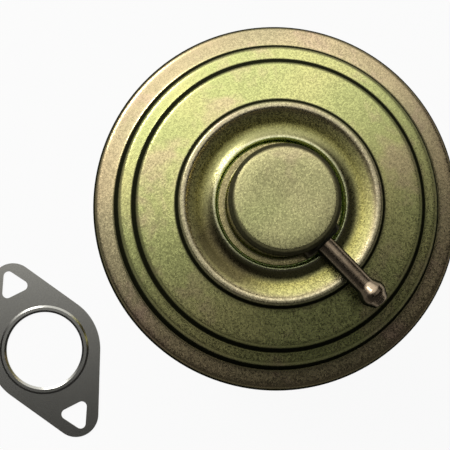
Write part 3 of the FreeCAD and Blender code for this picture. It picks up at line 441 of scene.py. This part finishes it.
# %% [markdown]
# ## Cast iron with machined faces
# The body is cast in sand, so its skin is dark and coarse. Four faces are cut clean
# after casting: the base, the side port's face, and the ring round each bolt hole. The
# finish finds those faces by their place and makes them smoother and brighter, with
# the fine turning marks of the cutter.

# %% Cast iron
BASE_CUT = (0.00025, 0.00015)
PORT_CUT = (-0.0358, -0.0359)
FLANGE_TOP = 0.010
FLANGE_CUT = (0.0002, 0.0001)
BOLT_EAST = 0.027
BOLT_RING = (0.0073, 0.0070)
MARKS_PER_METRE = 9000.0


def cast_iron_finish():
    material, tree, shader = new_material("cast_iron")
    place = object_place(tree)
    parts = split(tree, place)
    coarse = noise(tree, place, 0.0012, 3.0, 0.6)
    wide = noise(tree, place, 0.015, 3.0, 0.6)
    tone = spread(tree, coarse, 0.35, 0.65)
    skin = mix_colours(tree, tone, (0.055, 0.054, 0.052), (0.14, 0.138, 0.132))
    rust = spread(tree, wide, 0.50, 0.68, 0.0, 0.5)
    skin = mix_colours(tree, rust, skin, (0.13, 0.075, 0.045))
    base = spread(tree, parts["Z"], *BASE_CUT)
    port = spread(tree, parts["Y"], *PORT_CUT)
    cut = math_node(tree, "MAXIMUM", base, port)
    level = math_node(tree, "ABSOLUTE", math_node(tree, "SUBTRACT", parts["Z"], FLANGE_TOP))
    for east in (-BOLT_EAST, BOLT_EAST):
        ring = spread(tree, axis_distance(tree, place, (east, 0.0)), *BOLT_RING)
        ring = math_node(tree, "MULTIPLY", ring, spread(tree, level, *FLANGE_CUT))
        cut = math_node(tree, "MAXIMUM", cut, ring)
    marks = math_node(tree, "MULTIPLY", axis_distance(tree, place), MARKS_PER_METRE)
    marks = math_node(tree, "SINE", marks)
    tone = spread(tree, coarse, 0.3, 0.7)
    metal = mix_colours(tree, tone, (0.30, 0.30, 0.30), (0.42, 0.42, 0.42))
    set_input(tree, shader.inputs["Base Color"], mix_colours(tree, cut, skin, metal))
    set_input(tree, shader.inputs["Metallic"], spread(tree, cut, 0.0, 1.0, 0.35, 0.95))
    set_input(tree, shader.inputs["Roughness"], spread(tree, cut, 0.0, 1.0, 0.62, 0.36))
    rough_skin = math_node(tree, "MULTIPLY", coarse, math_node(tree, "SUBTRACT", 1.0, cut))
    turned = math_node(tree, "MULTIPLY", marks, cut)
    bump(tree, shader, [(rough_skin, 0.8, 0.0004), (turned, 0.2, 0.00003)])
    return material


dress(cast_iron_finish(), "valve_body")

# %% [markdown]
# ## Turning a profile into a round piece
# The cover, the cap, the diaphragm and the seal are all round. Each starts as a wire of
# a few corners (radius, height and how far the corner is rounded, in millimetres). A
# vertex bevel rounds the corners, long runs are divided so that smooth shading stays
# flat there, and one full spin makes the closed wall.

# %% Profile and spin
BEND_PARTS = 7
LONGEST_RUN = 0.9 * MM
SEAM = 0.002 * MM


def spun(profile, steps):
    """A closed wall from a closed profile of (radius, height, rounding) in mm."""
    shape = bmesh.new()
    corners = [shape.verts.new((radius * MM, 0.0, height * MM)) for radius, height, _ in profile]
    for first, second in zip(corners, corners[1:] + corners[:1]):
        shape.edges.new((first, second))
    for corner, (radius, height, rounding) in zip(corners, profile):
        if rounding:
            bmesh.ops.bevel(shape, geom=[corner], offset=rounding * MM, offset_type="OFFSET",
                            segments=BEND_PARTS, profile=0.5, affect="VERTICES", material=-1)
    for edge in shape.edges[:]:
        cuts = int(edge.calc_length() / LONGEST_RUN)
        if cuts:
            bmesh.ops.subdivide_edges(shape, edges=[edge], cuts=cuts)
    bmesh.ops.spin(shape, geom=shape.verts[:] + shape.edges[:], cent=(0, 0, 0), axis=(0, 0, 1),
                   angle=math.tau, steps=steps, use_merge=True)
    bmesh.ops.remove_doubles(shape, verts=shape.verts, dist=SEAM)
    return shape


# %% [markdown]
# ## Handing a piece over
# Each new piece ends the same way: normals outward, smooth shading with sharp edges
# where the faces meet at an angle, its material, the solid that it stands for, and the
# body that it moves with.

# %% Finish a piece
def finish_piece(name, shape, material, body, stands_for=None, crease=42.0):
    """body is None for a piece that is left without a body."""
    bmesh.ops.recalc_face_normals(shape, faces=shape.faces)
    for face in shape.faces:
        face.smooth = True
    for edge in shape.edges:
        if len(edge.link_faces) == 2 and edge.calc_face_angle() > math.radians(crease):
            edge.smooth = False
    mesh = bpy.data.meshes.new(name)
    shape.to_mesh(mesh)
    shape.free()
    mesh.materials.append(material)
    piece = bpy.data.objects.new(name, mesh)
    bpy.context.scene.collection.objects.link(piece)
    if stands_for:
        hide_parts(stands_for)
    if body:
        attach(piece, body)
    print(name, len(mesh.polygons), "faces")
    return piece


# %% [markdown]
# ## The drawn upper cover
# On the real valve one disc of sheet steel is drawn into two steps, a crest, a dish and
# a folded collar, and its edge is rolled under the lower cover. In a press every bend
# flows into the next one, which flat bands and small fillets can't show, so the cover
# is spun again here from the CAD's corners with generous roundings. Its dish is
# shallower than the CAD's and its collar stands 0.5 mm higher, because the side of the
# dish that is bright in the photograph speaks for a shallow one.

# %% Upper cover
cover_outside = [
    (9.0, 98.2, 0), (16.05, 98.2, 0.25), (16.2, 101.5, 0.3), (16.9, 101.45, 0.3),
    (18.2, 100.8, 0.7), (19.8, 100.62, 0.9), (23.2, 101.6, 0.5), (24.0, 102.0, 0.35),
    (25.4, 102.0, 0.6), (26.3, 100.0, 0.45), (36.2, 99.2, 0.9), (37.4, 97.0, 0.5),
    (41.0, 96.6, 1.1), (42.3, 92.5, 0.6), (48.0, 92.0, 1.7), (48.0, 86.0, 1.3),
    (44.8, 86.0, 0.2),
]
cover_inside = [
    (44.8, 87.15, 0.2), (46.75, 87.15, 0), (46.75, 90.85, 0.3), (41.2, 91.3, 0.5),
    (40.0, 95.4, 0.5), (36.3, 95.8, 0.3), (35.1, 98.0, 0.5), (25.5, 98.8, 0.3),
    (24.8, 100.8, 0.2), (24.4, 100.8, 0.2), (19.8, 99.4, 1.0), (17.4, 100.0, 0.2),
    (17.3, 97.0, 0.3), (9.0, 97.0, 0),
]
finish_piece("drawn_cover", spun(cover_outside + cover_inside, 160), can_zinc, "valve",
             "upper_cover")

# %% [markdown]
# ## The vacuum cap
# A small cup, drawn deep, whose top sinks a little toward its middle. Its foot is
# flared and soldered into the cover's pocket. The profile is spun in the same way, and
# it starts and ends on the axis, so the spin closes it there.

# %% Vacuum cap
cap_profile = [
    (0.0, 112.2, 0), (10.2, 112.38, 1.5), (13.5, 112.2, 2.0), (13.5, 99.2, 0.7),
    (15.7, 99.2, 0.25), (15.7, 98.2, 0.2), (12.9, 98.2, 0.5), (12.5, 99.0, 0.5),
    (12.5, 111.1, 1.3), (0.0, 111.1, 0),
]
finish_piece("drawn_cap", spun(cap_profile, 120), cap_zinc, "valve",
             "vacuum_cap")

# %% [markdown]
# ## Rubber on cloth
# A diaphragm is a cloth coated with rubber on both sides. The threads show through the
# thin coat as a fine weave, so two crossed waves make the bump. A soft noise stands for
# the bloom, the pale haze that comes out of old rubber.

# %% Diaphragm material
THREADS_PER_METRE = 7000.0


def rubber_on_cloth():
    material, tree, shader = new_material("rubber_on_cloth")
    place = object_place(tree)
    parts = split(tree, place)
    threads = []
    for axis in "XY":
        wave = math_node(tree, "MULTIPLY", parts[axis], THREADS_PER_METRE)
        threads.append(math_node(tree, "SINE", wave))
    weave = math_node(tree, "MAXIMUM", *threads)
    bloom = noise(tree, place, 0.006, 3.0, 0.6)
    haze = spread(tree, bloom, 0.4, 0.7)
    colour = mix_colours(tree, haze, (0.020, 0.020, 0.022), (0.045, 0.044, 0.043))
    set_input(tree, shader.inputs["Base Color"], colour)
    set_input(tree, shader.inputs["Roughness"], spread(tree, bloom, 0.3, 0.7, 0.52, 0.68))
    bump(tree, shader, [(weave, 0.5, 0.00008)])
    return material


# %% [markdown]
# ## The diaphragm
# A thick bead is held in the rolled rim, a flat middle is clamped between the plates,
# and a soft web joins them. The web stretches as the stem lifts. Here the piece is
# left without a body, and its place is baked into its mesh.

# %% Diaphragm
diaphragm_profile = [
    (2.6, 75.1, 0), (35.4, 75.1, 1.6), (41.6, 89.15, 1.2), (43.6, 89.15, 0.3),
    (43.6, 88.4, 0.3), (46.6, 88.4, 0.4), (46.6, 90.8, 0.4), (43.6, 90.8, 0.4),
    (43.6, 90.05, 0.3), (40.9, 90.05, 1.8), (34.7, 76.0, 1.0), (2.6, 76.0, 0),
]
diaphragm = finish_piece("moulded_diaphragm", spun(diaphragm_profile, 128), rubber_on_cloth(),
                         None, "diaphragm")
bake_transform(diaphragm)

# %% [markdown]
# ## The return spring
# A compression spring of round wire with a closed coil at each end. The wire's section
# is a circle; each short spin turns it about the axis and lifts it a little, and the
# lift grows from nothing at the closed ends to its full pitch between them.

# %% Return spring
WIRE_R = 1.1 * MM
COIL_R = 30.4 * MM
COIL_STEP = math.radians(6.0)
SPRING_LOW = 77.2 * MM
SPRING_HIGH = 98.0 * MM
CLOSED_STEPS = 30
ACTIVE_STEPS = 210
EASE_STEPS = 25


def wire_section(shape, wire_r, ring_r, height, cap_ends=False):
    """The round section of a wire, upright, at its distance from the axis."""
    place = Matrix.Translation((ring_r, 0.0, height)) @ Matrix.Rotation(math.pi / 2, 4, "X")
    bmesh.ops.create_circle(shape, cap_ends=cap_ends, segments=12, radius=wire_r, matrix=place)


lifts = [0.0] * CLOSED_STEPS
for step in range(ACTIVE_STEPS):
    lifts.append(min(1.0, (step + 1) / EASE_STEPS, (ACTIVE_STEPS - step) / EASE_STEPS))
lifts += [0.0] * CLOSED_STEPS
pitch = (SPRING_HIGH - SPRING_LOW - 2 * WIRE_R) / sum(lifts)
shape = bmesh.new()
wire_section(shape, WIRE_R, COIL_R, SPRING_LOW + WIRE_R, cap_ends=True)
section = shape.edges[:]
for lift in lifts:
    ring = bmesh.ops.spin(shape, geom=section, cent=(0, 0, 0), axis=(0, 0, 1),
                          dvec=(0, 0, lift * pitch), angle=COIL_STEP, steps=1)
    section = [item for item in ring["geom_last"] if isinstance(item, bmesh.types.BMEdge)]
bmesh.ops.contextual_create(shape, geom=section)
spring = finish_piece("coil_spring", shape, spring_wire, None, "return_spring")
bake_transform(spring)

# %% [markdown]
# ## The stem seal
# A lip seal of rubber keeps exhaust gas off the guide. Its inner lip is pressed on the
# stem by a garter spring, a thin coil that shows as a ring in the seal's groove.

# %% Stem seal and its garter spring
GARTER_WIRE_R = 0.0004
GARTER_RING_R = 0.0045
GARTER_HEIGHT = 0.0530

seal_profile = [
    (3.4, 50.5, 0.3), (6.5, 50.5, 0.4), (6.5, 53.8, 0.3), (5.6, 53.8, 0.2), (5.1, 51.6, 0.4),
    (4.4, 51.6, 0.3), (4.0, 52.6, 0.2), (4.1, 53.6, 0.2), (3.5, 53.7, 0.2), (3.06, 53.1, 0.1),
    (3.5, 52.4, 0.3),
]
finish_piece("lip_seal", spun(seal_profile, 64), rubber, "valve", "stem_seal")
shape = bmesh.new()
wire_section(shape, GARTER_WIRE_R, GARTER_RING_R, GARTER_HEIGHT)
bmesh.ops.spin(shape, geom=shape.verts[:] + shape.edges[:], cent=(0, 0, 0), axis=(0, 0, 1),
               angle=math.tau, steps=64, use_merge=True)
finish_piece("garter_spring", shape, spring_wire, "valve")

# %% [markdown]
# ## Loops for the screws and the nut
# Both grow from loops of 48 edges, a circle or a hexagon with divided sides. Two such
# loops have the same number of edges, so they bridge without triangles. Pulling a loop
# up, down or wider makes the next wall.

# %% Loops that are pulled into walls
LOOP_EDGES = 48
HEXAGON = 6


def loop(shape, sides, radius, height):
    """A loop of 48 edges: a circle, or a hexagon whose sides are divided."""
    place = Matrix.Translation((0.0, 0.0, height))
    made = bmesh.ops.create_circle(shape, segments=sides, radius=radius, matrix=place)
    edges = list(dict.fromkeys(edge for vert in made["verts"] for edge in vert.link_edges))
    if sides == HEXAGON:
        cut = bmesh.ops.subdivide_edges(shape, edges=edges, cuts=LOOP_EDGES // HEXAGON - 1)
        edges = [item for item in cut["geom"] if isinstance(item, bmesh.types.BMEdge)]
    return list(dict.fromkeys(edges))


def pull(shape, edges, rise, widen=1.0):
    """Extrude a loop up by rise and widen it; return the new loop."""
    made = bmesh.ops.extrude_edge_only(shape, edges=edges)["geom"]
    verts = [item for item in made if isinstance(item, bmesh.types.BMVert)]
    bmesh.ops.translate(shape, vec=(0, 0, rise), verts=verts)
    bmesh.ops.scale(shape, vec=(widen, widen, 1.0), verts=verts)
    new = set(verts)
    return [item for item in made
            if isinstance(item, bmesh.types.BMEdge) and set(item.verts) <= new]


# %% [markdown]
# ## The frame's socket screws
# Three screws hold the frame on the body. The head has a chamfer and a hexagon recess
# for the key. The outside runs down from the head's upper edge: chamfer, head, the
# head's underside, shank and point.

# %% Frame screws
HEAD_TOP = 52.2 * MM
RECESS_R = 2.31 * MM
RECESS_DEPTH = 1.8 * MM
HEAD_FLAT_R = 3.5
SCREW_WALLS = [(0.5, 4.0), (2.7, 4.0), (0.0, 2.5), (9.4, 2.5), (0.6, 1.9)]
SCREW_CIRCLE_R = 14.4 * MM
SCREWS = 3

shape = bmesh.new()
recess = loop(shape, HEXAGON, RECESS_R, HEAD_TOP)
outer = loop(shape, LOOP_EDGES, HEAD_FLAT_R * MM, HEAD_TOP)
bmesh.ops.bridge_loops(shape, edges=recess + outer)
recess_floor = pull(shape, recess, -RECESS_DEPTH)
bmesh.ops.contextual_create(shape, geom=recess_floor)
radius = HEAD_FLAT_R
for drop, next_radius in SCREW_WALLS:
    outer = pull(shape, outer, -drop * MM, next_radius / radius)
    radius = next_radius
bmesh.ops.contextual_create(shape, geom=outer)
bmesh.ops.translate(shape, vec=(SCREW_CIRCLE_R, 0, 0), verts=shape.verts)
screw = shape.verts[:] + shape.edges[:] + shape.faces[:]
bmesh.ops.spin(shape, geom=screw, cent=(0, 0, 0), axis=(0, 0, 1),
               angle=math.tau / SCREWS * (SCREWS - 1), steps=SCREWS - 1, use_duplicate=True)
finish_piece("socket_screws", shape, plated_steel, "valve", "frame_screws",
             crease=28.0)

# %% [markdown]
# ## The stem's nut
# A nut is cut from hexagon bar, and its corners are turned off at thirty degrees. Each
# point of the hexagon moves in from its face by its distance beyond the turned circle
# times the slope, which gives the curved edge that a real nut has. The bore has a small
# chamfer at both ends.

# %% Stem nut
NUT_LOW = 78.2 * MM
NUT_TOP = 82.2 * MM
NUT_FLATS = 8.0
CHAMFER_R = 3.85
CHAMFER_SLOPE = math.tan(math.radians(30.0))
BORE_MOUTH_R = 2.8
BORE_R = 2.5
BORE_CHAMFER = 0.3 * MM

shape = bmesh.new()
upper = loop(shape, HEXAGON, NUT_FLATS / math.sqrt(3.0) * MM, NUT_TOP)
lower = pull(shape, upper, NUT_LOW - NUT_TOP)
bore = []
for edges, face_height, side in ((upper, NUT_TOP, -1.0), (lower, NUT_LOW, 1.0)):
    for vert in {vert for edge in edges for vert in edge.verts}:
        beyond = vert.co.xy.length - CHAMFER_R * MM
        vert.co.z = face_height + side * beyond * CHAMFER_SLOPE
    face_loop = loop(shape, LOOP_EDGES, CHAMFER_R * MM, face_height)
    bmesh.ops.bridge_loops(shape, edges=edges + face_loop)
    mouth = pull(shape, face_loop, 0.0, BORE_MOUTH_R / CHAMFER_R)
    bore += pull(shape, mouth, side * BORE_CHAMFER, BORE_R / BORE_MOUTH_R)
bmesh.ops.bridge_loops(shape, edges=bore)
bmesh.ops.remove_doubles(shape, verts=shape.verts, dist=0.001 * MM)
finish_piece("hexagon_nut", shape, plated_steel, "lifter", "stem_nut",
             crease=20.0)

# %% [markdown]
# ## Floor
# A plain pale floor carries the valve. The camera and the reflections see it almost
# white, as the photograph's background is, while a small diffuse part keeps a trace of
# the shadow.

# %% Floor
FLOOR_GAP = 0.0002
FLOOR_SIZE = 3.0
WHITE_SHARE = 0.93

floor_mesh = bpy.data.meshes.new("floor")
shape = bmesh.new()
bmesh.ops.create_grid(shape, x_segments=1, y_segments=1, size=FLOOR_SIZE)
shape.to_mesh(floor_mesh)
shape.free()
floor = bpy.data.objects.new("floor", floor_mesh)
floor.location.z = cad_box[0][2] - FLOOR_GAP
bpy.context.scene.collection.objects.link(floor)

floor_material, tree, shader = new_material("pale_floor")
shader.inputs["Base Color"].default_value = (0.80, 0.80, 0.80, 1.0)
shader.inputs["Roughness"].default_value = 0.9
glow = add_node(tree, "Emission", None, Color=(1.0, 1.0, 1.0, 1.0), Strength=1.0)
path = tree.nodes.new("ShaderNodeLightPath")
seen = math_node(tree, "MAXIMUM", path.outputs["Is Camera Ray"], path.outputs["Is Glossy Ray"])
seen = math_node(tree, "MAXIMUM", seen, path.outputs["Is Transmission Ray"])
share = math_node(tree, "MULTIPLY", seen, WHITE_SHARE)
both = add_node(tree, "MixShader", None, i0=share, i1=shader.outputs[0], i2=glow.outputs[0])
output = next(node for node in tree.nodes if node.type == "OUTPUT_MATERIAL")
tree.links.new(both.outputs[0], output.inputs["Surface"])
floor_mesh.materials.append(floor_material)
print("floor at", round(floor.location.z, 4))

# %% [markdown]
# ## World
# The can is a dull mirror, so what it reflects makes most of the picture. The world is
# a dome that is bright round one direction and falls off away from it, as a large
# softbox in a dark room does. The levels are (cosine of the angle to that direction,
# brightness), and they were set by comparing renders with the photograph. The camera
# itself sees an even pale backdrop.

# %% World
TOWARD_LAMP = Vector((-0.16, 0.69, 0.707)).normalized()
FACING_LOW = 0.2
FACING_RANGE = 0.7
LEVELS = [(0.22, 0.03), (0.36, 0.006), (0.44, 0.004), (0.52, 0.03), (0.58, 0.07), (0.64, 0.13),
          (0.70, 0.24), (0.764, 0.62), (0.87, 0.95)]
SKY_STRENGTH = 1.15
BACKDROP = 0.96

world = bpy.data.worlds.new("studio")
bpy.context.scene.world = world
world.use_nodes = True
tree = world.node_tree
tree.nodes.clear()
direction = tree.nodes.new("ShaderNodeTexCoord").outputs["Generated"]
facing = vector_math(tree, "DOT_PRODUCT", direction, tuple(TOWARD_LAMP), result="Value")
level = ramp(tree, spread(tree, facing, FACING_LOW, FACING_LOW + FACING_RANGE),
             [((cosine - FACING_LOW) / FACING_RANGE, grey) for cosine, grey in LEVELS])
sky = add_node(tree, "Background", None, Color=level, Strength=SKY_STRENGTH)
backdrop = add_node(tree, "Background", None, Color=(BACKDROP,) * 3 + (1.0,), Strength=1.0)
seen = tree.nodes.new("ShaderNodeLightPath").outputs["Is Camera Ray"]
studio = add_node(tree, "MixShader", None, i0=seen, i1=sky.outputs[0], i2=backdrop.outputs[0])
sky_output = tree.nodes.new("ShaderNodeOutputWorld")
tree.links.new(studio.outputs[0], sky_output.inputs["Surface"])
print("world with", len(LEVELS), "levels")

# %% [markdown]
# ## Lamp
# One large soft lamp lights the valve from the upper left and gives it its shade. The
# Standard view transform adds no film look, so the colours come out as they are lit.

# %% Lamp
LAMP_PLACE = Vector((-0.45, 0.50, 0.60))
LAMP_AIM = Vector((0.0, 0.0, 0.09))

lamp_data = bpy.data.lights.new("key_lamp", "AREA")
lamp_data.shape = "DISK"
lamp_data.size = 0.40
lamp_data.energy = 2.5
lamp = bpy.data.objects.new("key_lamp", lamp_data)
lamp.location = LAMP_PLACE
lamp.rotation_euler = (LAMP_AIM - LAMP_PLACE).to_track_quat("-Z", "Y").to_euler()
bpy.context.scene.collection.objects.link(lamp)
bpy.context.scene.view_settings.view_transform = "Standard"
print("lamp", lamp_data.energy, "W")
